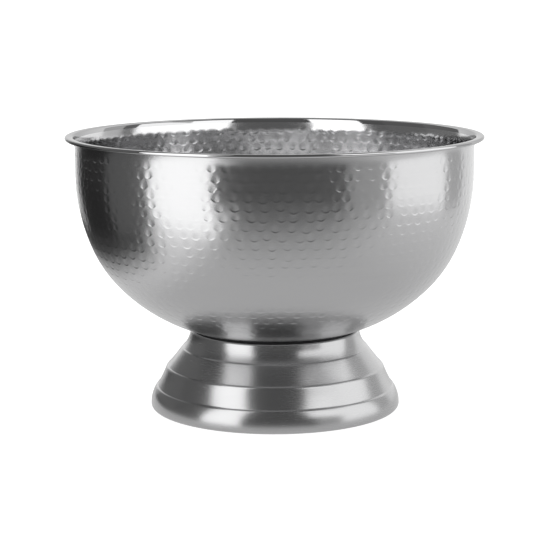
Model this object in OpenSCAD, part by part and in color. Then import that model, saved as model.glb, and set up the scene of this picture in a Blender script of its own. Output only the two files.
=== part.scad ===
// Footed punch bowl: a spun steel bowl with a turned-out lip, bolted to a stepped pedestal foot.
// Millimetres, +Z up. The origin is the centre of the circle that the foot rests on.
//
// Both shells are sheet metal, so each is drawn as the path that one face of the sheet
// follows in section, given as a chain of tangent lines and arcs, and then thickened.

/* [Overall] */
// Height from the table to the top of the lip
overall_h = 246; // [230:1:260]
// Diameter over the lip
rim_d = 371; // [360:1:390]

/* [Bowl] */
// Thickness of the bowl's sheet
bowl_t = 0.9; // [0.7:0.1:1.2]
// Outer radius of the upright wall
wall_r = 176.7; // [172:0.1:178]
// Radius of the flat disc pressed into the bottom
flat_r = 28; // [24:1:36]
// Radius of curvature beside the flat
bottom_curve = 156; // [150:1:170]
// Radius of curvature of the lower side
side_curve = 115; // [105:1:120]
// Radius of curvature under the upright wall
shoulder_curve = 168; // [160:1:170]
// Angle of the sheet where the side meets the shoulder
shoulder_angle = 66.5; // [60:0.5:72]

/* [Lip] */
// Radius of the sweep in which the wall opens outwards under the lip
sweep_r = 32; // [25:1:60]
// How far the wall leans outwards at the end of the sweep
sweep_turn = 20; // [8:1:25]
// Inside radius of the bend over which the sheet turns outwards
crest_r = 1.2; // [0.8:0.1:2]
// How far the lip still rises outwards, in degrees
lip_rise = 4; // [0:1:15]
// Inside radius of the edge rolled under the lip
roll_r = 0.75; // [0.3:0.05:1.2]
// How far the edge is rolled
roll_turn = 180; // [120:5:200]

/* [Foot] */
// Thickness of the foot's sheet
foot_t = 1; // [0.8:0.1:1.2]
// Height of the convex band at the base, above its turned-in edge
base_h = 15; // [13:0.2:17]
// Lean of the base band at its top
base_lean = 33; // [25:1:36]
// Heights of the flared tiers from the neck down
tier_h = [13.65, 15.05, 15.55]; // [12:0.05:18]
// Lean of each tier from the vertical at its top, from the neck down
tier_top_lean = [9, 36, 21]; // [5:1:38]
// Lean of each tier at its bottom, from the neck down
tier_foot_lean = [40, 40, 29]; // [24:1:45]
// Lean of the small ledge between two tiers
ledge_lean = 62; // [58:1:75]
// Inside radius of a ledge
ledge_in_r = 2.2; // [1:0.1:3]
// Outside radius of a ledge
ledge_out_r = 3.6; // [1.5:0.1:4]
// Radius of the edge turned in at the base
hem_r = 3.4; // [2.5:0.1:4]
// Width of the turned-in ring that the foot rests on
hem_w = 3.5; // [2:0.5:6]
// Radius of the shoulder at the top of the neck
neck_r = 2.2; // [1.6:0.1:3]

/* [Clamp] */
// Gap between bowl and foot, which the gasket and the stud's plate fill
gap = 1.3; // [1.2:0.1:2]
// Angle up the bowl's curve at which the gasket starts
gasket_from = 14.3; // [13:0.1:16]
// Angle up the bowl's curve that the gasket covers
gasket_span = 2.5; // [1.5:0.1:3]
// Diameter of the plate welded under the bowl
plate_d = 44; // [36:1:50]
// Stud diameter
stud_d = 8; // [6:1:10]
// Stud length below the plate
stud_l = 27; // [24:1:30]
// Clearance hole in the foot
hole_d = 9; // [8.5:0.5:11]
// Large washer, outside diameter
washer_d = 30; // [24:1:36]
// Large washer, thickness
washer_t = 1.5; // [1.2:0.1:2]
// Washer bore
washer_bore = 8.4; // [8.3:0.1:9]
// Spring washer, outside diameter
spring_d = 14.8; // [13:0.1:16]
// Spring washer, thickness when it is flattened
spring_t = 2; // [1.6:0.1:2.2]
// Width of the slit in the spring washer
spring_slit = 1.4; // [1:0.1:2]

/* [Wing nut] */
// Hub diameter at the seat
hub_d = 16; // [14:0.5:18]
// Hub diameter at the free end
hub_end_d = 12.6; // [11:0.2:14]
// Hub height
hub_h = 10; // [8:0.5:12]
// Span over both wings
wing_span = 38; // [34:1:42]
// Height from the seat to the wing tips
wing_h = 19; // [17:0.5:21]
// Wing thickness
wing_t = 3; // [2.5:0.1:3.5]
// Radius of a wing's rounded tip
wing_tip_r = 5.5; // [5:0.1:6.5]

/* [Hidden] */
$fn = 96;

bowl_steel = "#b4b7ba";
foot_steel = "#a9acaf";
hardware_steel = "#c6c7c9";
rubber = "#1d1d1f";

// Chamfer at the end of the stud, and the play between the stud and the nut's bore.
stud_chamfer = 0.8;
thread_play = 0.05;
// Slant of the spring washer's slit.
slit_slant = 20;
// How far below the seat a wing starts on the hub, and the slope of its round tip's chord.
wing_root = 2;
wing_brow = 24;

// Angle between the points of a wide arc and of a tight one, and the radius that parts them.
wide_step = 3;
tight_step = 15;
tight_r = 20;

// ---- The path of a sheet in section -------------------------------------------------
// A state is [x, z, heading]. A step is [length, 0] for a straight, or [radius, turn] for
// an arc that starts in the direction of travel; a positive turn is anticlockwise.

function ahead(a) = [cos(a), sin(a)];
function left_of(a) = [-sin(a), cos(a)];
function spot(s) = [s[0], s[1]];
function moved(s, step, part = 1) =
    let (turn = part * step[1],
         bend = step[0] * sign(step[1]),
         to = step[1] == 0
            ? spot(s) + part * step[0] * ahead(s[2])
            : spot(s) + bend * (left_of(s[2]) - left_of(s[2] + turn)))
    [to[0], to[1], s[2] + turn];

// How many chords a step is drawn with.
function chords(step) =
    step[1] == 0 ? 1 : ceil(abs(step[1]) / (step[0] < tight_r ? tight_step : wide_step) - 0.001);

// Every state along a path, with the points of its arcs.
function trail(s, path, i = 0) =
    i == len(path) ? [s] : concat(
        [for (k = [0 : chords(path[i]) - 1]) moved(s, path[i], k / chords(path[i]))],
        trail(moved(s, path[i]), path, i + 1));

function path_end(s, path) = let (all = trail(s, path)) all[len(all) - 1];

// The sheet's section: side is 1 where its thickness lies left of the path, -1 where right.
module section(start, path, t, side) {
    states = trail(start, path);
    n = len(states);
    face = [for (s = states) spot(s)];
    back = [for (k = [n - 1 : -1 : 0]) spot(states[k]) + side * t * left_of(states[k][2])];
    polygon(concat(face, back));
}

module sheet(start, path, t, side) {
    rotate_extrude() section(start, path, t, side);
}

// ---- Foot ---------------------------------------------------------------------------
// The path follows the upper and outer face: from the hole in the middle of the seat, up
// the dished seat, over the shoulder of the neck, down the tiers and under the base.
// Lean is measured from straight down, so a lean of 90 is level and outward.

seat_end = gasket_from + gasket_span;

// An arc on which the lean goes from one value to another over a drop of h.
function tier(h, from, to) = [h / abs(sin(to) - sin(from)), to - from];

function ledge(from, to) = [
    [ledge_in_r, ledge_lean - from],
    [ledge_out_r, to - ledge_lean]
];

foot_path = concat(
    [
        [flat_r - hole_d / 2, 0],
        [bottom_curve + gap, gasket_from],
        [bottom_curve + gap, gasket_span],
        [neck_r, tier_top_lean[0] - 90 - seat_end]
    ],
    [for (k = [0 : len(tier_h) - 1])
        let (next_lean = k < len(tier_h) - 1 ? tier_top_lean[k + 1] : base_lean)
        each concat([tier(tier_h[k], tier_top_lean[k], tier_foot_lean[k])],
                    ledge(tier_foot_lean[k], next_lean))
    ],
    [
        tier(base_h, base_lean, 0),
        [hem_r, -90],
        [hem_w, 0]
    ]
);

// The seat stands as high as the path drops, so the turned-in edge lies on the table.
seat_z = -path_end([hole_d / 2, 0, 0], foot_path)[1];

module pedestal_foot() {
    color(foot_steel) sheet([hole_d / 2, seat_z, 0], foot_path, foot_t, -1);
}

// ---- Bowl ---------------------------------------------------------------------------
// The path follows the under and outer face, from the middle of the bottom to the lip's rolled edge.
// The arcs are tangent, so the radii settle where the bottom curve meets the side curve.

side_x = wall_r - shoulder_curve + (shoulder_curve - side_curve) * sin(shoulder_angle);
side_angle = asin((side_x - flat_r) / (bottom_curve - side_curve));

// The lip's straight part reaches from the crest's bend to the roll, whose outside is the rim.
crest_end_x = wall_r + sweep_r * (1 - cos(sweep_turn)) + crest_r * (cos(sweep_turn) - sin(lip_rise));
roll_start_x = rim_d / 2 - (roll_r + bowl_t) - roll_r * sin(lip_rise);
lip_l = (roll_start_x - crest_end_x) / cos(lip_rise);
// Height from the foot of the sweep to the top of the roll.
lip_h = sweep_r * sin(sweep_turn) + crest_r * (cos(lip_rise) - sin(sweep_turn))
      + lip_l * sin(lip_rise) + roll_r * (1 - cos(lip_rise)) + bowl_t;

bowl_under = [
    [flat_r, 0],
    [bottom_curve, gasket_from],
    [bottom_curve, gasket_span],
    [bottom_curve, side_angle - seat_end],
    [side_curve, shoulder_angle - side_angle],
    [shoulder_curve, 90 - shoulder_angle]
];
bowl_z = seat_z + gap;
wall_z = path_end([0, bowl_z, 0], bowl_under)[1];
wall_l = overall_h - lip_h - wall_z;

bowl_lip = [
    [wall_l, 0],
    [sweep_r, -sweep_turn],
    [crest_r, sweep_turn - 90 + lip_rise],
    [lip_l, 0],
    [roll_r, -roll_turn]
];

module bowl_shell() {
    color(bowl_steel) sheet([0, bowl_z, 0], concat(bowl_under, bowl_lip), bowl_t, 1);
}

// ---- Between bowl and foot ----------------------------------------------------------

module stud_plate() {
    color(hardware_steel) translate([0, 0, seat_z]) cylinder(d = plate_d, h = gap);
}

module seat_gasket() {
    under_side = moved([flat_r, bowl_z, 0], bowl_under[1]);
    color(rubber) sheet(under_side, [bowl_under[2]], gap, -1);
}

// ---- Clamp under the seat -----------------------------------------------------------
// Each piece hangs from the face above it, so each is drawn downwards from its own top.

washer_z = seat_z - foot_t;
spring_z = washer_z - washer_t;
nut_z = spring_z - spring_t;

module ring(outer_d, inner_d, t) {
    translate([0, 0, -t]) difference() {
        cylinder(d = outer_d, h = t);
        translate([0, 0, -1]) cylinder(d = inner_d, h = t + 2);
    }
}

module clamp_stud() {
    color(hardware_steel) {
        translate([0, 0, seat_z - stud_l + stud_chamfer]) cylinder(d = stud_d, h = stud_l - stud_chamfer);
        translate([0, 0, seat_z - stud_l])
            cylinder(d1 = stud_d - 2 * stud_chamfer, d2 = stud_d, h = stud_chamfer);
    }
}

module clamp_washer() {
    color(hardware_steel) translate([0, 0, washer_z]) ring(washer_d, washer_bore, washer_t);
}

module spring_washer() {
    color(hardware_steel) translate([0, 0, spring_z]) difference() {
        ring(spring_d, washer_bore, spring_t);
        rotate([0, slit_slant, 0])
            translate([-spring_slit / 2, 0, -2 * spring_t]) cube([spring_slit, spring_d, 4 * spring_t]);
    }
}

// A wing rises from the hub's side to a round tip; here the nut hangs, so it points down.
module wing() {
    tip = [wing_span / 2 - wing_tip_r, wing_tip_r - wing_h];
    rotate([90, 0, 0]) translate([0, 0, -wing_t / 2]) linear_extrude(wing_t) {
        translate(tip) circle(r = wing_tip_r);
        polygon([
            [stud_d / 2 + 1, -wing_root],
            [hub_d / 2 + 1, -wing_root],
            tip + wing_tip_r * ahead(wing_brow),
            tip - wing_tip_r * ahead(wing_brow),
            [hub_end_d / 2, -hub_h + 1],
            [stud_d / 2 + 1, -hub_h + 1]
        ]);
    }
}

module wing_nut() {
    color(hardware_steel) translate([0, 0, nut_z]) difference() {
        union() {
            translate([0, 0, -hub_h]) cylinder(d1 = hub_end_d, d2 = hub_d, h = hub_h);
            wing();
            mirror([1, 0, 0]) wing();
        }
        translate([0, 0, -hub_h - 1]) cylinder(r = stud_d / 2 + thread_play, h = hub_h + 2);
    }
}

bowl_shell();
stud_plate();
clamp_stud();
seat_gasket();
pedestal_foot();
clamp_washer();
spring_washer();
wing_nut();
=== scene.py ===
"""Looks for the footed punch bowl: hammered steel bowl, spun stepped foot, and the clamp inside it.

Lengths are metres in the frame's own axes, with +Z up along the bowl's axis.
"""

import math

import bmesh
import bpy
import numpy as np
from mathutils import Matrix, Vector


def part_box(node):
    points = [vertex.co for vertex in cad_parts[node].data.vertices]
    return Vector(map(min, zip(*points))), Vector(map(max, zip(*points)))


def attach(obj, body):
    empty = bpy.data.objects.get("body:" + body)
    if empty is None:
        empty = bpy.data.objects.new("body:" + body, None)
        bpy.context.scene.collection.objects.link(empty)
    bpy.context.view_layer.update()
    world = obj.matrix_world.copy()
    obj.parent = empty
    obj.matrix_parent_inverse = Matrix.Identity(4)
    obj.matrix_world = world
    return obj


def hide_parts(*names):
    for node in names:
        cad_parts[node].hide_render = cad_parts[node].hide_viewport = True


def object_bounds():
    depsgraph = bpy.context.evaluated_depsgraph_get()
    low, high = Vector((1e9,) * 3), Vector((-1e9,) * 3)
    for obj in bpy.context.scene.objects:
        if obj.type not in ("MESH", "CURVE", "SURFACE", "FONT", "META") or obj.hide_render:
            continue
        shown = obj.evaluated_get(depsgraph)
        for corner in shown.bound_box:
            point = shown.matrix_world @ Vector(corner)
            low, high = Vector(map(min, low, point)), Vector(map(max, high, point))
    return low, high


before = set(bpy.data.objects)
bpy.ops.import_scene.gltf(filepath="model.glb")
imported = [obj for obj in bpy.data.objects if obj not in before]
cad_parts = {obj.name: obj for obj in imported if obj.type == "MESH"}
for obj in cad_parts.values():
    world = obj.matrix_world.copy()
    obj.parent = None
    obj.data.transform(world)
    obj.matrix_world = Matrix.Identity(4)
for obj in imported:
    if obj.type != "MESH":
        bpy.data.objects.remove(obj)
CAD_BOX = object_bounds()

MM = 0.001
RIM_R = CAD_BOX[1][0]
TOP_Z = CAD_BOX[1][2]


# ---- Sizes, as the CAD has them ---------------------------------------------------------

BOWL_T = 0.9 * MM
WALL_R = 176.7 * MM
FLAT_R = 28 * MM
BOTTOM_CURVE = 156 * MM
SIDE_CURVE = 115 * MM
SHOULDER_CURVE = 168 * MM
SHOULDER_ANGLE = 66.5
SWEEP_R = 32 * MM
SWEEP_TURN = 20
CREST_R = 1.2 * MM
LIP_RISE = 4
ROLL_R = 0.75 * MM
ROLL_TURN = 180

FOOT_T = 1.0 * MM
TIER_H = [13.65 * MM, 15.05 * MM, 15.55 * MM]
TIER_TOP_LEAN = [9, 36, 21]
TIER_FOOT_LEAN = [40, 40, 29]
LEDGE_LEAN = 62
LEDGE_IN_R = 2.2 * MM
LEDGE_OUT_R = 3.6 * MM
BASE_H = 15 * MM
BASE_LEAN = 33
HEM_R = 3.4 * MM
HEM_W = 3.5 * MM
NECK_R = 2.2 * MM
HOLE_R = 4.5 * MM
GAP = 1.3 * MM
GASKET_FROM = 14.3
GASKET_SPAN = 2.5

PLATE_R = 22 * MM
STUD_R = 4 * MM
THREAD_PITCH = 1.25 * MM
STUD_CHAMFER = 0.8 * MM
WASHER_R = 15 * MM
SPRING_R = 7.4 * MM
WASHER_BORE_R = 4.2 * MM
SPRING_SLIT = 1.4 * MM
SLIT_SLANT = 20
HUB_R = 8 * MM
HUB_END_R = 6.3 * MM
HUB_H = 10 * MM
WING_SPAN = 38 * MM
WING_H = 19 * MM
WING_T = 3 * MM
WING_TIP_R = 5.5 * MM
BORE_R = 4.05 * MM

SEAT_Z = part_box("stud_plate")[0][2]
BOWL_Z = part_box("bowl_shell")[0][2]


# ---- The path of a sheet in section -----------------------------------------------------

def rad(a):
    return math.radians(a)


def left_of(a):
    return np.array([-math.sin(rad(a)), math.cos(rad(a))])


def moved(state, step, part=1.0):
    """The state [x, z, heading] after part of a step, [length, 0] or [radius, turn]."""
    spot, heading = np.array(state[:2]), state[2]
    size, turn = step[0], step[1] * part
    if step[1] == 0:
        spot = spot + part * size * np.array([math.cos(rad(heading)), math.sin(rad(heading))])
    else:
        bend = math.copysign(size, step[1])
        spot = spot + bend * (left_of(heading) - left_of(heading + turn))
    return [spot[0], spot[1], heading + turn]


def step_length(step):
    return step[0] if step[1] == 0 else step[0] * abs(rad(step[1]))


def trail(start, path, spacing):
    """States along a path, about spacing(step) apart, with each step's ends among them."""
    states = [list(start)]
    state = list(start)
    for step in path:
        count = max(1, math.ceil(step_length(step) / spacing(step)))
        states += [moved(state, step, k / count) for k in range(1, count + 1)]
        state = moved(state, step)
    return states


def behind(states, side, thickness):
    """The other face of the sheet, last state first."""
    return [
        [*(np.array(s[:2]) + side * thickness * left_of(s[2])), s[2]] for s in reversed(states)
    ]


# The rows of a lathe's mesh: how far apart at most and at least, and the degrees from one to the
# next where the section is curved.
WIDEST_ROW = 4 * MM
NARROWEST_ROW = 0.25 * MM
ROW_TURN = 6


def spacing(step):
    """Room between two rows of a lathe's mesh: finer where the section is tightly curved."""
    if step[1] == 0:
        return WIDEST_ROW
    return min(WIDEST_ROW, max(NARROWEST_ROW, step[0] * rad(ROW_TURN)))


# ---- Sections ---------------------------------------------------------------------------

SIDE_X = WALL_R - SHOULDER_CURVE + (SHOULDER_CURVE - SIDE_CURVE) * math.sin(rad(SHOULDER_ANGLE))
SIDE_ANGLE = math.degrees(math.asin((SIDE_X - FLAT_R) / (BOTTOM_CURVE - SIDE_CURVE)))
SEAT_END = GASKET_FROM + GASKET_SPAN
# How far up the sweep under the lip the dents go, as the angle it has turned.
HAMMERED_SWEEP = 10


def bowl_section():
    """The path of the bowl's under and outer face: the part that is hammered, and the lip."""
    under = [
        [FLAT_R, 0],
        [BOTTOM_CURVE, SIDE_ANGLE],
        [SIDE_CURVE, SHOULDER_ANGLE - SIDE_ANGLE],
        [SHOULDER_CURVE, 90 - SHOULDER_ANGLE],
    ]
    start = [0.0, BOWL_Z, 0.0]
    state = start
    for step in under:
        state = moved(state, step)
    rise, lean = rad(LIP_RISE), rad(SWEEP_TURN)
    crest_x = WALL_R + SWEEP_R * (1 - math.cos(lean)) + CREST_R * (math.cos(lean) - math.sin(rise))
    roll_x = RIM_R - (ROLL_R + BOWL_T) - ROLL_R * math.sin(rise)
    lip_l = (roll_x - crest_x) / math.cos(rise)
    lip_h = SWEEP_R * math.sin(lean) + CREST_R * (math.cos(rise) - math.sin(lean))
    lip_h += lip_l * math.sin(rise) + ROLL_R * (1 - math.cos(rise)) + BOWL_T
    wall = [[TOP_Z - lip_h - state[1], 0], [SWEEP_R, -HAMMERED_SWEEP]]
    lip = [
        [SWEEP_R, HAMMERED_SWEEP - SWEEP_TURN],
        [CREST_R, SWEEP_TURN - 90 + LIP_RISE],
        [lip_l, 0],
        [ROLL_R, -ROLL_TURN],
    ]
    return start, under + wall, lip


def foot_section():
    """The path of the foot's upper and outer face, from its middle hole to its hem's edge."""
    def tier(height, lean, lean_end):
        rise = abs(math.sin(rad(lean_end)) - math.sin(rad(lean)))
        return [height / rise, lean_end - lean]

    path = [
        [FLAT_R - HOLE_R, 0],
        [BOTTOM_CURVE + GAP, SEAT_END],
        [NECK_R, TIER_TOP_LEAN[0] - 90 - SEAT_END],
    ]
    next_lean = TIER_TOP_LEAN[1:] + [BASE_LEAN]
    for height, lean, lean_end, after in zip(TIER_H, TIER_TOP_LEAN, TIER_FOOT_LEAN, next_lean):
        path.append(tier(height, lean, lean_end))
        path.append([LEDGE_IN_R, LEDGE_LEAN - lean_end])
        path.append([LEDGE_OUT_R, after - LEDGE_LEAN])
    path += [tier(BASE_H, BASE_LEAN, 0), [HEM_R, -90], [HEM_W, 0]]
    return [HOLE_R, SEAT_Z, 0.0], path


# ---- Mesh helpers -----------------------------------------------------------------------

# Shading breaks at an edge that turns by more than this, in degrees.
# LOOP is for the closed outlines: gasket, plate and flat washer.
LOOP_SHARP = 35
FOOT_SHARP = 50
STUD_SHARP = 40
COIL_SHARP = 30


def new_piece(name, verts, faces, materials, body, node):
    mesh = bpy.data.meshes.new(name)
    mesh.from_pydata(verts, [], faces)
    for material in materials:
        mesh.materials.append(material)
    mesh.polygons.foreach_set("use_smooth", np.ones(len(mesh.polygons), dtype=bool))
    piece = bpy.data.objects.new(name, mesh)
    bpy.context.scene.collection.objects.link(piece)
    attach(piece, body)
    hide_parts(node)
    return piece


class Turned:
    """A mesh of rings about Z, each joined to the last, whose number of points may differ."""

    def __init__(self):
        self.points, self.faces, self.slots = [], [], []
        self.total, self.last = 0, None

    def ring(self, r, z, columns, slot=0):
        turn = np.arange(columns) * 2 * math.pi / columns
        ring = np.stack(np.broadcast_arrays(r * np.cos(turn), r * np.sin(turn), z), axis=-1)
        self.points.append(ring)
        if self.last is not None:
            self.join(self.last, (self.total, columns), slot)
        self.last = (self.total, columns)
        self.total += columns

    def join(self, near, far, slot):
        (a, count_a), (b, count_b) = near, far
        if count_a == count_b:
            j = np.arange(count_a)
            nextj = (j + 1) % count_a
            self.add([a + j, a + nextj, b + nextj, b + j], slot)
            return
        i = j = 0
        while i < count_a or j < count_b:
            near_i, far_j = a + i % count_a, b + j % count_b
            if (i + 0.5) * count_b < (j + 0.5) * count_a:
                i += 1
                self.faces.append([near_i, a + i % count_a, far_j])
            else:
                j += 1
                self.faces.append([near_i, b + j % count_b, far_j])
            self.slots.append(slot)

    def add(self, corners, slot):
        self.faces += np.stack(corners, axis=-1).tolist()
        self.slots += [slot] * len(corners[0])

    def cap(self, z, at_start=False, slot=0):
        """Closes the last ring, or the first, with a fan of triangles."""
        first, count = (0, len(self.points[0])) if at_start else self.last
        self.points.append(np.array([[0.0, 0.0, z]]))
        j = np.arange(count)
        fan = [first + j, first + (j + 1) % count, np.full(count, self.total)]
        self.add(fan[::-1] if at_start else fan, slot)
        self.total += 1

    def close(self, slot=0):
        """Joins the last ring to the first, which has the same number of points."""
        self.join(self.last, (0, len(self.points[0])), slot)

    def build(self, name, materials, body, node):
        piece = new_piece(name, np.vstack(self.points).tolist(), self.faces, materials,
                          body, node)
        piece.data.polygons.foreach_set("material_index", np.array(self.slots, dtype=np.int32))
        return piece


def turned_loop(corners, columns, name, material, body, node):
    """A closed outline [r, z] turned about Z. It runs clockwise with r to the right, z up."""
    mesh = Turned()
    for r, z in corners:
        mesh.ring(r, z, columns)
    mesh.close()
    piece = mesh.build(name, [material], body, node)
    piece.data.set_sharp_from_angle(angle=rad(LOOP_SHARP))
    return piece


# ---- The hammered bowl ------------------------------------------------------------------

SEED = 11
ROW_PITCH = 7.9 * MM
LOWEST_ROW_PITCH = 10.5 * MM
FIRST_ROW_BELOW_LIP = 4.9 * MM
HAMMERED_TO_R = 33 * MM
# The outer face is left plain inside this radius, where it comes down on the gasket.
SEAM_R = 84 * MM

DENT_PITCH = 11.8 * MM
DENT_HALF_W = 4.0 * MM
DENT_HALF_H = 3.6 * MM
DENT_DEPTH = 0.11 * MM
CREST_RISE = 0.035 * MM

# How unevenly the dents are struck: along their row, as a share of their pitch, up and down, in
# size and in depth, and how far they lean to one side.
ROW_JITTER = 0.03
DENT_DRIFT = 0.11
DENT_RISE = 0.45 * MM
DENT_SIZES = (0.88, 1.1)
DENT_DEPTHS = (0.55, 1.3)
DENT_TILT = 0.35

# A dent's ledge begins this far below its middle and is whole LEDGE_EASE later, both as the sine
# of the way down from its middle. Its slope takes SIDE_SLOPE of its radius, but LEDGE_SLOPE there.
LEDGE_BEGINS = 0.2
LEDGE_EASE = 0.7
SIDE_SLOPE = 1.0
LEDGE_SLOPE = 0.2
# The crest that a ledge throws up, as shares of the dent's radius from its middle.
CREST_AT = 1.12
CREST_SPREAD = 0.12
# The share of a dent's half width that the line of its ledge follows round it.
LEDGE_REACH = 0.85

# Rings of vertices by a row's ledge, up from its foot, and the rings between there and the next.
OUTER_LEDGE_RINGS = [k * MM for k in (-0.9, -0.4, 0, 0.3, 0.6, 0.9, 1.2, 1.6)]
INNER_LEDGE_RINGS = [k * MM for k in (-0.8, -0.2, 0.4, 0.9, 1.5)]
OPEN_RINGS = 3
# Vertices round the bowl, above FEWER_COLUMNS_BELOW_R and below it, and in a draft.
OUTER_COLUMNS, OUTER_DRAFT = (880, 580), (480, 320)
INNER_COLUMNS, INNER_DRAFT = (600, 380), (360, 240)
FEWER_COLUMNS_BELOW_R = 118 * MM
# The plain middle, under the bowl and inside it: its vertices round, its rings out to the first
# row of dents, where the innermost one runs, and how far short of the row the last one stops.
PLAIN_COLUMNS = 180
PLAIN_RINGS_UNDER = 18
PLAIN_RINGS_INSIDE = 5
INNERMOST_R = 4 * MM
SHORT_OF_ROW = 3 * MM
# The bowl's material slots.
OUTSIDE_SLOT, INSIDE_SLOT, LIP_SLOT = 0, 1, 2
# The dents and the crests inside, against those outside.
INSIDE_DEPTH = 2.1
INSIDE_CRESTS = 0.3


def eased(t):
    t = np.clip(t, 0, 1)
    return t * t * (3 - 2 * t)


class Blows:
    """One row of hammer dents round the bowl, at length s along its section."""

    def __init__(self, s, r, rng):
        self.s, self.r = s, r
        self.count = round(2 * math.pi * r / DENT_PITCH)
        self.phase = rng.uniform(0, 1)
        self.drift = rng.normal(0, DENT_DRIFT, self.count)
        self.rise = rng.normal(0, DENT_RISE, self.count)
        self.size = rng.uniform(*DENT_SIZES, self.count)
        self.depth = DENT_DEPTH * rng.uniform(*DENT_DEPTHS, self.count)
        self.tilt = rng.normal(0, DENT_TILT, self.count)

    def nearest(self, turn, r):
        """The dent nearest each turn, 0 to 1, and how far right of its middle that is."""
        place = turn * self.count - self.phase
        k = np.round(place).astype(int)
        across = (place - k - self.drift[k % self.count]) / self.count * 2 * math.pi * r
        return k % self.count, across / DENT_HALF_W

    def ledge(self, turn):
        """Where the foot of the ledge runs: an arc under each dent, joined by levels."""
        k, across = self.nearest(turn, self.r)
        u = np.minimum(abs(across) / self.size[k], LEDGE_REACH)
        return self.s + self.rise[k] - DENT_HALF_H * self.size[k] * np.sqrt(1 - u ** 2)

    def dent(self, turn, s, r):
        """How deep the dents, and how high the crests under them, are at each turn and s."""
        k, across = self.nearest(turn, r)
        u = across / self.size[k]
        v = (s - self.s - self.rise[k]) / (DENT_HALF_H * self.size[k])
        rho = np.hypot(u, v)
        low = eased((-LEDGE_BEGINS - v / np.maximum(rho, 1e-6)) / LEDGE_EASE)
        width = SIDE_SLOPE - (SIDE_SLOPE - LEDGE_SLOPE) * low
        deep = self.depth[k] * eased((1 - rho) / width) * (1 + self.tilt[k] * u)
        crest = CREST_RISE * low * np.exp(-((rho - CREST_AT) / CREST_SPREAD) ** 2)
        return deep, crest


# How finely a section's states are tabled.
SECTION_STEP = 0.4 * MM


class Section:
    """A path with its states tabled, so that a whole ring of vertices is placed at once."""

    def __init__(self, start, path):
        self.length = sum(step_length(step) for step in path)
        self.states = np.array(trail(start, path, lambda step: SECTION_STEP))
        steps = np.hypot(*np.diff(self.states[:, :2], axis=0).T)
        self.s = np.concatenate([[0], np.cumsum(steps)])
        self.s *= self.length / self.s[-1]

    def at(self, s):
        """x, z and heading in degrees at each length s."""
        return [np.interp(s, self.s, column) for column in self.states.T]


class Face:
    """How one face of the hammered sheet is meshed.

    It lies offset inwards of the outer face, and its dents and crests are the outer ones times
    depth, with the crests times crests as well."""

    def __init__(self, offset, columns, ledge_rings, crests, depth, slot):
        self.offset, self.columns, self.ledge_rings = offset, columns, ledge_rings
        self.crests, self.depth, self.slot = crests, depth, slot


def hammered_rings(mesh, section, rows, face, downwards=False):
    """Rings that follow the ledges of the rows of dents, up to the top of the wall or from it."""
    order = range(len(rows))
    for i in (reversed(order) if downwards else order):
        row = rows[i]
        count = face.columns[int(row.r < FEWER_COLUMNS_BELOW_R)]
        turn = np.arange(count) / count
        foot = row.ledge(turn)
        last = i + 1 == len(rows)
        head = section.length if last else rows[i + 1].ledge(turn) + face.ledge_rings[0]
        levels = [foot + place for place in face.ledge_rings]
        room = head - levels[-1]
        steps = OPEN_RINGS + 1
        levels += [levels[-1] + room * k / steps for k in range(1, steps + last)]
        for s in (reversed(levels) if downwards else levels):
            x, z, heading = section.at(s)
            deep = crest = np.zeros(count)
            for near in rows[max(0, i - 1):i + 2]:
                dent, lip = near.dent(turn, s, x)
                deep, crest = np.maximum(deep, dent), np.maximum(crest, lip)
            inward = face.depth * (deep - face.crests * crest) + face.offset
            lean = np.radians(heading)
            mesh.ring(x - np.sin(lean) * inward, z + np.cos(lean) * inward, count, face.slot)


def plain_rings(mesh, section, places, offset, slot):
    """Rings without dents, at the places s along the section."""
    for s in places:
        x, z, heading = section.at(s)
        lean = rad(heading)
        x, z = x - math.sin(lean) * offset, z + math.cos(lean) * offset
        mesh.ring(x, z, PLAIN_COLUMNS, slot)


def make_bowl():
    start, side, lip = bowl_section()
    section = Section(start, side)
    rng = np.random.default_rng(SEED)
    rows = []
    s = section.length - FIRST_ROW_BELOW_LIP
    while section.at(s)[0] > HAMMERED_TO_R:
        rows.insert(0, Blows(s, section.at(s)[0], rng))
        widened = eased((WALL_R - section.at(s)[0]) / (WALL_R / 2))
        pitch = ROW_PITCH + (LOWEST_ROW_PITCH - ROW_PITCH) * widened
        s -= pitch * rng.uniform(1 - ROW_JITTER, 1 + ROW_JITTER)
    outer_rows = [row for row in rows if row.r > SEAM_R]

    outside = Face(0, OUTER_COLUMNS, OUTER_LEDGE_RINGS,
                   1, 1, OUTSIDE_SLOT)
    inside = Face(BOWL_T, INNER_COLUMNS, INNER_LEDGE_RINGS,
                  INSIDE_CRESTS, INSIDE_DEPTH, INSIDE_SLOT)

    def below(row):
        return row.s - DENT_HALF_H - SHORT_OF_ROW

    mesh = Turned()
    under = np.linspace(INNERMOST_R, below(outer_rows[0]), PLAIN_RINGS_UNDER)
    plain_rings(mesh, section, under, 0, OUTSIDE_SLOT)
    mesh.cap(start[1], at_start=True)
    hammered_rings(mesh, section, outer_rows, outside)

    lip_face = trail([float(v) for v in section.at(section.length)], lip, spacing)
    for x, z, _ in lip_face[1:]:
        mesh.ring(x, z, outside.columns[0], OUTSIDE_SLOT)
    for x, z, _ in behind(lip_face, 1, BOWL_T)[:-1]:
        mesh.ring(x, z, outside.columns[0], LIP_SLOT)
    hammered_rings(mesh, section, rows, inside, downwards=True)
    floor = np.linspace(below(rows[0]), INNERMOST_R, PLAIN_RINGS_INSIDE)
    plain_rings(mesh, section, floor, BOWL_T, INSIDE_SLOT)
    mesh.cap(start[1] + BOWL_T, slot=INSIDE_SLOT)
    return mesh.build("bowl", [SATIN, INNER, POLISHED], "root", "bowl_shell")


# ---- The foot and the clamp -------------------------------------------------------------

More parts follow.
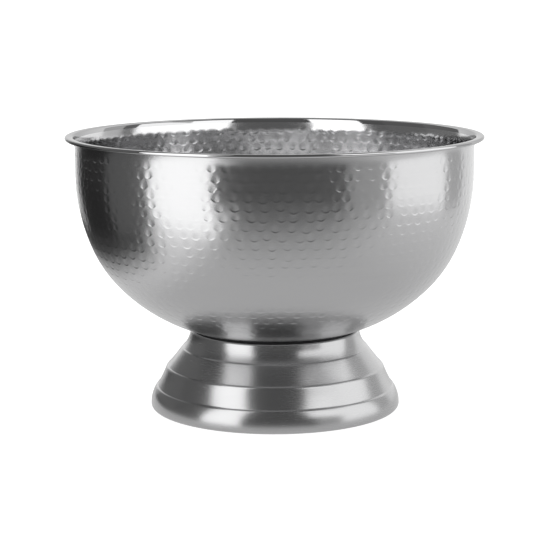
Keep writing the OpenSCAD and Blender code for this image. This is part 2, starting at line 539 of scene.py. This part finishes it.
FOOT_COLUMNS, FOOT_DRAFT = 360, 180
GASKET_COLUMNS = 240
GASKET_STEP = 0.8 * MM
GASKET_SWELL = 0.5 * MM
PLATE_COLUMNS = 120
PLATE_EDGE = 0.2 * MM
WELD_W = 1.1 * MM
WELD_H = 0.9 * MM
STUD_COLUMNS = 60
STUD_RINGS_A_TURN = 12
WASHER_COLUMNS = 144
WASHER_EDGE = 0.15 * MM
SPRING_COLUMNS = 120
SPRING_EDGE = 0.2 * MM

# The thread's groove: its depth on the stud as a share of the pitch, and the share of that depth
# by which its flanks would overshoot the crest and the root, which are both cut flat.
THREAD_DEPTH = 0.61
FLANK_OVERSHOOT = 0.125

# The wing nut: where its wings start on the hub, the hub's play at the seat, the room for the
# turned bore in the casting, and how the casting is melted and smoothed.
WING_FOOT = 2 * MM
WING_BITE = 1 * MM
SEAT_PLAY = 0.3 * MM
BORE_SHELL = 0.35 * MM
HUB_COLUMNS = 64
MELT_VOXEL = 0.3 * MM
SMOOTH_TIMES = 10
SMOOTH_SHARE = 0.5
NUT_GROOVE = 0.5 * MM
BORE_COLUMNS = 60
BORE_RINGS = 97
BORE_MARGIN = 0.4 * MM
# The closed ends of the bore's mesh, out from the bore, inside the casting.
BORE_ENDS = [1.6 * MM, 0.7 * MM]


def make_foot():
    start, path = foot_section()
    face = trail(start, path, spacing)
    mesh = Turned()
    for x, z, _ in face + behind(face, -1, FOOT_T):
        mesh.ring(x, z, FOOT_COLUMNS)
    mesh.close()
    foot = mesh.build("foot", [FOOT_SATIN], "root", "pedestal_foot")
    foot.data.flip_normals()
    foot.data.set_sharp_from_angle(angle=rad(FOOT_SHARP))
    return foot


def make_gasket():
    """The rubber ring between bowl and foot, with its outer edge swollen by the clamp."""
    start = moved([FLAT_R, BOWL_Z, 0.0], [BOTTOM_CURVE, GASKET_FROM])
    under_bowl = trail(start, [[BOTTOM_CURVE, GASKET_SPAN]], lambda step: GASKET_STEP)
    on_foot = behind(under_bowl, -1, GAP)
    edge = under_bowl[-1]
    middle = np.array(edge[:2]) - GAP / 2 * left_of(edge[2])
    out = np.array([math.cos(rad(edge[2])), math.sin(rad(edge[2]))])
    swell = []
    for a in range(75, -90, -15):
        side = GAP / 2 * math.sin(rad(a)) * left_of(edge[2])
        swell.append([*(middle + side + GASKET_SWELL * math.cos(rad(a)) * out), 0])
    outline = [s[:2] for s in under_bowl + swell + on_foot]
    return turned_loop(outline[::-1], GASKET_COLUMNS, "gasket", RUBBER, "root", "seat_gasket")


def make_plate():
    """The disc welded under the bowl, with its weld bead, that the stud stands on."""
    bead = [[PLATE_R + WELD_W * math.sin(rad(a)), BOWL_Z - WELD_H * math.cos(rad(a))]
            for a in range(0, 91, 15)]
    outline = [[STUD_R, SEAT_Z], [PLATE_R - PLATE_EDGE, SEAT_Z], [PLATE_R, SEAT_Z + PLATE_EDGE]]
    outline += bead + [[STUD_R, BOWL_Z]]
    return turned_loop(outline[::-1], PLATE_COLUMNS, "plate", HARDWARE, "root", "stud_plate")


def thread_depth(along_pitch):
    """Depth of the thread's groove, from 0 at the crest to 1 at the root, over one pitch."""
    flank = abs((along_pitch % 1) * 2 - 1)
    return np.clip(flank * (1 + 2 * FLANK_OVERSHOOT) - FLANK_OVERSHOOT, 0, 1)


def make_stud():
    bottom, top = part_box("clamp_stud")[0][2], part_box("clamp_stud")[1][2]
    rings = round((top - bottom) / THREAD_PITCH * STUD_RINGS_A_TURN)
    turn = np.arange(STUD_COLUMNS) / STUD_COLUMNS
    mesh = Turned()
    for k in range(rings + 1):
        z = bottom + (top - bottom) * k / rings
        chamfer = max(0, STUD_CHAMFER - (z - bottom))
        groove = THREAD_DEPTH * THREAD_PITCH * thread_depth(z / THREAD_PITCH - turn)
        mesh.ring(np.minimum(STUD_R - groove, STUD_R - chamfer), z, STUD_COLUMNS)
    mesh.cap(bottom, at_start=True)
    mesh.cap(top)
    stud = mesh.build("stud", [HARDWARE], "root", "clamp_stud")
    stud.data.set_sharp_from_angle(angle=rad(STUD_SHARP))
    return stud


def chamfered(inner, outer, bottom, top, chamfer):
    return [[inner, bottom + chamfer], [inner, top - chamfer], [inner + chamfer, top],
            [outer - chamfer, top], [outer, top - chamfer], [outer, bottom + chamfer],
            [outer - chamfer, bottom], [inner + chamfer, bottom]]


def make_washer():
    low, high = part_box("clamp_washer")
    outline = chamfered(WASHER_BORE_R, WASHER_R, low[2], high[2], WASHER_EDGE)
    return turned_loop(outline, WASHER_COLUMNS, "washer", HARDWARE, "washers", "clamp_washer")


def make_spring_washer():
    """A flat coil of one turn, whose ends face each other across a slanting slit."""
    low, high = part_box("spring_washer")
    corners = chamfered(WASHER_BORE_R, SPRING_R, low[2], high[2], SPRING_EDGE)
    steps, half = SPRING_COLUMNS, SPRING_SLIT / 2 / math.cos(rad(SLIT_SLANT))
    points, faces, n = [], [], len(corners)
    for k in range(steps + 1):
        for r, z in corners:
            lean = (z - high[2]) * math.tan(rad(SLIT_SLANT))
            first, last = math.asin((lean - half) / r), math.asin((lean + half) / r)
            a = math.pi / 2 - first + (2 * math.pi + first - last) * k / steps
            points.append([r * math.cos(a), r * math.sin(a), z])
    for k in range(steps):
        for c in range(n):
            a, b = k * n + c, k * n + (c + 1) % n
            faces.append([a, a + n, b + n, b])
    faces += [list(range(n)), list(range(steps * n, (steps + 1) * n))[::-1]]
    piece = new_piece("spring_washer_coil", points, faces, [HARDWARE], "washers",
                      "spring_washer")
    piece.data.flip_normals()
    piece.data.set_sharp_from_angle(angle=rad(COIL_SHARP))
    return piece


def wing_outline():
    """A wing's outline [x, height above the seat], from its root on the hub to its round tip."""
    tip = np.array([WING_SPAN / 2 - WING_TIP_R, WING_H - WING_TIP_R])
    arc = [tip + WING_TIP_R * np.array([math.cos(rad(a)), math.sin(rad(a))])
           for a in range(-24, 157, 12)]
    return [[STUD_R + WING_BITE, WING_FOOT], [HUB_R + WING_BITE, WING_FOOT], *arc,
            [HUB_END_R, HUB_H - WING_BITE], [STUD_R + WING_BITE, HUB_H - WING_BITE]]


def make_wing_nut():
    """A cast nut: hub and wings melted together by a remesh, round a turned threaded bore."""
    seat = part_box("wing_nut")[1][2]
    solids = bmesh.new()

    def add_prism(outline, half):
        rim = [[solids.verts.new((x, side * half, seat - h)) for x, h in outline]
               for side in (-1, 1)]
        solids.faces.new(rim[0])
        solids.faces.new(rim[1][::-1])
        n = len(outline)
        for k in range(n):
            solids.faces.new([rim[0][(k + 1) % n], rim[0][k], rim[1][k], rim[1][(k + 1) % n]])

    outline = wing_outline()
    add_prism(outline, WING_T / 2)
    add_prism([[-x, h] for x, h in outline][::-1], WING_T / 2)
    core = BORE_R + BORE_SHELL
    hub = [[core, SEAT_PLAY], [HUB_R, SEAT_PLAY], [HUB_END_R, HUB_H], [core, HUB_H]]
    rings = []
    for k in range(HUB_COLUMNS):
        a = 2 * math.pi * k / HUB_COLUMNS
        rings.append([solids.verts.new((r * math.cos(a), r * math.sin(a), seat - h)) for r, h in hub])
    for k in range(HUB_COLUMNS):
        near, far = rings[k], rings[(k + 1) % HUB_COLUMNS]
        for c in range(4):
            solids.faces.new([near[c], near[(c + 1) % 4], far[(c + 1) % 4], far[c]])
    bmesh.ops.recalc_face_normals(solids, faces=solids.faces)
    mesh = bpy.data.meshes.new("nut_casting")
    solids.to_mesh(mesh)
    solids.free()
    casting = bpy.data.objects.new("nut_casting", mesh)
    bpy.context.scene.collection.objects.link(casting)
    melt = casting.modifiers.new("melt", "REMESH")
    melt.mode = "VOXEL"
    melt.voxel_size = MELT_VOXEL
    soften = casting.modifiers.new("soften", "SMOOTH")
    soften.iterations = SMOOTH_TIMES
    soften.factor = SMOOTH_SHARE
    shape = casting.evaluated_get(bpy.context.evaluated_depsgraph_get()).to_mesh()
    points = [v.co.to_tuple() for v in shape.vertices]
    faces = [list(p.vertices) for p in shape.polygons]
    casting.to_mesh_clear()
    bpy.data.objects.remove(casting)

    low, high = [np.array(c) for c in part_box("wing_nut")]
    points = np.clip(np.array(points), low, high)

    bore = Turned()
    turn = np.arange(BORE_COLUMNS) / BORE_COLUMNS
    top, bottom = seat, seat - HUB_H
    for out in BORE_ENDS:
        bore.ring(BORE_R + out, top, BORE_COLUMNS)
    for k in range(BORE_RINGS):
        down = (bottom - top + 2 * BORE_MARGIN) * k / (BORE_RINGS - 1)
        z = top - BORE_MARGIN + down
        groove = NUT_GROOVE * thread_depth(z / THREAD_PITCH - turn + 0.5)
        bore.ring(BORE_R + groove, z, BORE_COLUMNS)
    for out in reversed(BORE_ENDS):
        bore.ring(BORE_R + out, bottom, BORE_COLUMNS)
    bore.close()
    first = len(points)
    faces += [[first + v for v in f] for f in bore.faces]
    points = np.vstack([points, *bore.points])
    return new_piece("nut", points.tolist(), faces, [CAST_STEEL], "wing_nut", "wing_nut")


# ---- Materials --------------------------------------------------------------------------

# Noises of the turned steel: [stretch along the section, scale, detail], and the patches' last two.
BROAD_LINES = [60, 60, 3]
FINE_LINES = [400, 25, 2]
PATCHES = [14, 3]
# How far the broad lines change the roughness, as a share of it, and the fine lines the colour.
LINE_ROUGHNESS = 0.25
LINE_TINT = 0.03
LINE_STRENGTH = 0.35
NOISE_LOW, NOISE_HIGH = 0.3, 0.7
# The steel is a trace bluer than grey: its blue against its red and green.
STEEL_BLUE = 1.008
HARDWARE_BLUE = 1.01

RUBBER_COLOUR = (0.012, 0.012, 0.013, 1)
RUBBER_GRAIN = [1800, 3]
RUBBER_GRAIN_DEPTH = 0.05 * MM
RUBBER_GRAIN_STRENGTH = 0.4
WEAR = [250, 3]
WEAR_ROUGHNESS = 0.25
GRAIN_DETAIL = 4
GRAIN_STRENGTH = 0.5


class Nodes:
    """A short way to write a material's node tree."""

    def __init__(self, name):
        self.material = bpy.data.materials.new(name)
        self.material.use_nodes = True
        self.tree = self.material.node_tree
        self.shader = self.tree.nodes["Principled BSDF"]

    def add(self, kind, inputs=None, **values):
        node = self.tree.nodes.new("ShaderNode" + kind)
        for name, value in values.items():
            setattr(node, name, value)
        for name, value in (inputs or {}).items():
            if isinstance(value, bpy.types.NodeSocket):
                self.tree.links.new(value, node.inputs[name])
            else:
                node.inputs[name].default_value = value
        return node

    def set(self, **values):
        for name, value in values.items():
            socket = self.shader.inputs[name.replace("_", " ")]
            if isinstance(value, bpy.types.NodeSocket):
                self.tree.links.new(value, socket)
            else:
                socket.default_value = value

    def math(self, operation, *values):
        return self.add("Math", dict(enumerate(values)), operation=operation).outputs[0]

    def noise(self, vector, scale, detail):
        """A noise on a vector, which mostly lies between NOISE_LOW and NOISE_HIGH."""
        return self.add("TexNoise", {"Vector": vector, "Scale": scale, "Detail": detail}).outputs[0]

    def ramp(self, value, near, far, low, high):
        """Low where the value is near, high where it is far, and level outside them."""
        return self.add("MapRange", {"Value": value, "From Min": near, "From Max": far,
                                     "To Min": low, "To Max": high}).outputs[0]

    def bump(self, height, strength, distance):
        inputs = {"Height": height, "Strength": strength, "Distance": distance}
        return self.add("Bump", inputs).outputs[0]

    def varied(self, value, noise, amount):
        """The value, moved up and down by the noise's part of the amount."""
        return self.math("MULTIPLY_ADD", self.math("SUBTRACT", noise, 0.5), amount, value)

    def around(self, side, stretch):
        """A vector that changes fast along a turned sheet's section and slowly round it.

        side is 1 where the radius grows upwards, -1 where it shrinks."""
        place = self.add("TexCoord").outputs["Object"]
        parts = self.add("SeparateXYZ", {0: place}).outputs
        square = self.math("ADD", self.math("POWER", parts["X"], 2), self.math("POWER", parts["Y"], 2))
        r = self.math("MULTIPLY", self.math("SQRT", square), side)
        along = self.math("MULTIPLY", self.math("ADD", r, parts["Z"]), stretch)
        return self.add("CombineXYZ", {0: parts["X"], 1: parts["Y"], 2: along}).outputs[0]


def turned_steel(name, colour, roughness, anisotropy, side, line_depth, smudge=0.05, edge=1.0):
    """Steel brushed or polished round the axis: its highlights stretch across the lines.

    line_depth is the fine lines' height, smudge how far patches change the roughness, and edge
    how bright the steel is where it is seen edge-on."""
    n = Nodes(name)
    lines = n.noise(n.around(side, BROAD_LINES[0]), *BROAD_LINES[1:])
    fine = n.noise(n.around(side, FINE_LINES[0]), *FINE_LINES[1:])
    patches = n.noise(n.add("TexCoord").outputs["Object"], *PATCHES)
    rough = n.varied(roughness, lines, LINE_ROUGHNESS * roughness)
    rough = n.varied(rough, patches, smudge)
    tint = n.ramp(fine, NOISE_LOW, NOISE_HIGH, 1 - LINE_TINT, 1 + LINE_TINT)
    base = n.add("VectorMath", {0: (colour, colour, colour * STEEL_BLUE)}, operation="SCALE")
    n.tree.links.new(tint, base.inputs["Scale"])
    tangent = n.add("Tangent", direction_type="RADIAL", axis="Z").outputs[0]
    n.set(Metallic=1.0, Base_Color=base.outputs[0], Roughness=rough, Anisotropic=anisotropy,
          Anisotropic_Rotation=0.25, Tangent=tangent, Specular_Tint=(edge, edge, edge, 1),
          Normal=n.bump(fine, LINE_STRENGTH, line_depth))
    return n.material


def rubber():
    n = Nodes("gasket_rubber_black")
    grain = n.noise(n.add("TexCoord").outputs["Object"], *RUBBER_GRAIN)
    n.set(Base_Color=RUBBER_COLOUR, Roughness=0.75, Specular_IOR_Level=0.3,
          Normal=n.bump(grain, RUBBER_GRAIN_STRENGTH, RUBBER_GRAIN_DEPTH))
    return n.material


def plain_steel(name, colour, roughness, grain_scale, grain_depth):
    n = Nodes(name)
    place = n.add("TexCoord").outputs["Object"]
    grain = n.noise(place, grain_scale, GRAIN_DETAIL)
    rough = n.varied(roughness, n.noise(place, *WEAR), WEAR_ROUGHNESS)
    n.set(Metallic=1.0, Base_Color=(colour, colour, colour * HARDWARE_BLUE, 1), Roughness=rough,
          Normal=n.bump(grain, GRAIN_STRENGTH, grain_depth))
    return n.material


SATIN = turned_steel("hammered_satin", colour=0.46, roughness=0.23, anisotropy=0.5, side=1,
                     line_depth=0.004 * MM)
INNER = turned_steel("hammered_inside", colour=0.65, roughness=0.16, anisotropy=0.3, side=1,
                     line_depth=0.0002 * MM)
POLISHED = turned_steel("polished_lip", colour=0.52, roughness=0.06, anisotropy=0.15, side=1,
                        line_depth=0.0005 * MM, smudge=0.02, edge=0.6)
FOOT_SATIN = turned_steel("foot_satin", colour=0.45, roughness=0.26, anisotropy=0.5, side=-1,
                          line_depth=0.004 * MM)
HARDWARE = plain_steel("bright_hardware", colour=0.6, roughness=0.25, grain_scale=900,
                       grain_depth=0.01 * MM)
CAST_STEEL = plain_steel("cast_steel", colour=0.5, roughness=0.38, grain_scale=1200,
                         grain_depth=0.08 * MM)
RUBBER = rubber()


# ---- Studio -----------------------------------------------------------------------------

# What the metal sees of the room, besides the white table. Azimuth is measured round the bowl
# from the camera's side, positive to its right, and elevation from the horizon, in degrees.
# Each row is [azimuth from, to, elevation from, to, brightness], and a later one lies nearer.
ROOM = [
    [-180, 180, -90, 90, 0.20],
    [-78, 68, -60, 90, 0.13],
    [-180, -143, -60, 60, 0.45],
    [-146, -107, -60, 0, 0.03],
    [-108, -76, -60, 60, 0.16],
    [108, 130, -60, 60, 0.62],
    [130, 180, -60, 60, 1.1],
]
# The room's radius, how much nearer each next row lies, its middle's height, and degrees a face.
ROOM_R = 3.2
ROOM_STEP = 0.02
ROOM_CENTRE_Z = 0.15
ROOM_FACE = 5
# Upright panels nearer the bowl, as [x, y at one end, x, y at the other, z from, to, brightness].
PANELS = [
    [-0.215, -0.40, -0.57, -0.265, 0, 1.0, 2.1],
    [0.42, -0.585, 0.87, -0.49, 0, 0.33, 0.5],
    [0.36, -0.60, 0.87, -0.49, 0.33, 1.0, 1.85],
    [0.78, -0.45, 0.80, 0.18, 0, 0.80, 1.65],
    [0.78, -0.45, 0.80, 0.18, 0.80, 1.3, 0.7],
    [-0.35, -0.74, 0.35, -0.74, 0, 0.055, 0.3],
    [-0.60, 1.00, 1.20, 1.00, 0, 1.05, 1.1],
]
TABLE_LEFT, TABLE_RIGHT = -0.48, 0.80
TABLE_FRONT, TABLE_BACK = -0.75, 1.0
# The table card lies this far under the floor that the camera sees.
TABLE_Z = -0.0004
# How the table's glow changes over it: [axis, from, to, value at from, value at to].
TABLE_SLOPES = {
    "front to back": ["Y", TABLE_FRONT, -0.27, 0.1, 0.78],
    "added at the left": ["X", -0.17, -0.28, 0, 1],
    "added at the left, by depth": ["Y", 0.12, -0.12, 0.1, 0.42],
    "added at the right": ["X", 0.2, 0.6, 0, 0.22],
    "dark left edge": ["X", -0.25, -0.38, 0, 0.93],
    "dark left edge, by depth": ["Y", -0.22, -0.12, 0, 1],
    "lit by the left panel": ["X", -0.21, -0.30, 0, 1],
}
# The way from the left panel towards the bowl, as x and y, and how its light on the table falls
# off along that way: [from, to, value at from, value at to].
FROM_LEFT_PANEL = [0.355, 0.934]
LEFT_PANEL_LIGHT = [-0.45, -0.34, 0.5, 0]
FLOOR_HALF_W = 30.0
FLOOR_COLOUR = (0.6, 0.6, 0.6, 1)
FLOOR_GLOW = 0.75
WORLD_GLOW = 1.1


def glow(name, brightness):
    n = Nodes(name)
    n.tree.nodes.remove(n.shader)
    emission = n.add("Emission", {"Strength": brightness})
    n.tree.links.new(emission.outputs[0], n.tree.nodes["Material Output"].inputs["Surface"])
    return n.material


def make_card(name, verts, faces, material):
    """A glowing surface that only the metal's reflections see."""
    mesh = bpy.data.meshes.new(name)
    mesh.from_pydata(verts, [], faces)
    mesh.materials.append(material)
    card = bpy.data.objects.new(name, mesh)
    bpy.context.scene.collection.objects.link(card)
    card.visible_camera = False
    card.visible_diffuse = False
    card.visible_shadow = False
    card.visible_transmission = False


def make_room():
    for k, (az_from, az_to, el_from, el_to, brightness) in enumerate(ROOM):
        radius = ROOM_R - ROOM_STEP * k
        columns = max(2, round((az_to - az_from) / ROOM_FACE) + 1)
        rows = max(2, round((el_to - el_from) / ROOM_FACE) + 1)
        up = np.radians(np.linspace(el_from, el_to, rows))
        across = np.radians(np.linspace(az_from, az_to, columns))
        el, az = np.meshgrid(up, across, indexing="ij")
        verts = radius * np.stack(
            [np.cos(el) * np.sin(az), -np.cos(el) * np.cos(az), np.sin(el)], axis=-1)
        verts[..., 2] += ROOM_CENTRE_Z
        corners = [r * columns + c for r in range(rows - 1) for c in range(columns - 1)]
        faces = [[v, v + 1, v + 1 + columns, v + columns] for v in corners]
        material = glow(f"room_glow_{k}", brightness)
        make_card(f"room_{k}", verts.reshape(-1, 3).tolist(), faces, material)


def make_panels():
    for k, (x0, y0, x1, y1, z0, z1, brightness) in enumerate(PANELS):
        make_card(f"panel_{k}", [(x0, y0, z0), (x1, y1, z0), (x1, y1, z1), (x0, y0, z1)],
                  [[0, 1, 2, 3]], glow(f"panel_glow_{k}", brightness))


def make_table_glow():
    """What the metal sees of the table: darker at the front and at the left edge, and brighter
    beside the panels."""
    n = Nodes("table_glow")
    n.tree.nodes.remove(n.shader)
    place = n.add("SeparateXYZ", {0: n.add("NewGeometry").outputs["Position"]}).outputs

    def slope(name):
        axis, *ends = TABLE_SLOPES[name]
        return n.ramp(place[axis], *ends)

    def product(name, other):
        return n.math("MULTIPLY", slope(name), other)

    left = product("added at the left", slope("added at the left, by depth"))
    edge = product("dark left edge", slope("dark left edge, by depth"))
    away = n.math("ADD", n.math("MULTIPLY", place["X"], FROM_LEFT_PANEL[0]),
                  n.math("MULTIPLY", place["Y"], FROM_LEFT_PANEL[1]))
    lit = product("lit by the left panel", n.ramp(away, *LEFT_PANEL_LIGHT))
    strength = n.math("ADD", slope("front to back"), left)
    strength = n.math("ADD", strength, slope("added at the right"))
    strength = n.math("ADD", strength, lit)
    strength = n.math("MULTIPLY", strength, n.math("SUBTRACT", 1, edge))
    emission = n.add("Emission", {"Strength": strength})
    n.tree.links.new(emission.outputs[0], n.tree.nodes["Material Output"].inputs["Surface"])
    verts = [(TABLE_LEFT, TABLE_FRONT, TABLE_Z), (TABLE_RIGHT, TABLE_FRONT, TABLE_Z),
             (TABLE_RIGHT, TABLE_BACK, TABLE_Z), (TABLE_LEFT, TABLE_BACK, TABLE_Z)]
    make_card("table_card", verts, [[0, 1, 2, 3]], n.material)


def make_floor():
    w = FLOOR_HALF_W
    mesh = bpy.data.meshes.new("floor")
    mesh.from_pydata([(-w, -w, 0), (w, -w, 0), (w, w, 0), (-w, w, 0)], [], [[0, 1, 2, 3]])
    n = Nodes("floor_white")
    n.set(Base_Color=FLOOR_COLOUR, Roughness=1.0, Specular_IOR_Level=0.0,
          Emission_Color=(1, 1, 1, 1), Emission_Strength=FLOOR_GLOW)
    mesh.materials.append(n.material)
    floor = bpy.data.objects.new("floor", mesh)
    bpy.context.scene.collection.objects.link(floor)
    floor.visible_glossy = False


def make_studio():
    world = bpy.data.worlds.new("white_room")
    world.use_nodes = True
    background = world.node_tree.nodes["Background"]
    background.inputs["Color"].default_value = (1, 1, 1, 1)
    background.inputs["Strength"].default_value = WORLD_GLOW
    bpy.context.scene.world = world
    bpy.context.scene.view_settings.view_transform = "Standard"
    make_floor()
    make_room()
    make_panels()
    make_table_glow()


# ---- Camera -----------------------------------------------------------------------------

# How far the camera looks down and is rolled, in degrees, and its lens and sensor, in mm.
CAMERA_PLACE = (-0.0074, -1.5498, 0.3839)
CAMERA_DOWN = 9.4325
CAMERA_ROLL = -0.2
CAMERA_LENS = 117.96
SENSOR_W = 36.0


def make_camera():
    data = bpy.data.cameras.new("camera")
    data.sensor_width = SENSOR_W
    data.lens = CAMERA_LENS
    camera = bpy.data.objects.new("camera", data)
    camera.location = CAMERA_PLACE
    camera.rotation_euler = (rad(90 - CAMERA_DOWN), 0, 0)
    camera.rotation_euler.rotate_axis("Z", rad(CAMERA_ROLL))
    bpy.context.scene.collection.objects.link(camera)
    bpy.context.scene.camera = camera


make_camera()
make_studio()
make_bowl()
make_foot()
make_gasket()
make_plate()
make_stud()
make_washer()
make_spring_washer()
make_wing_nut()
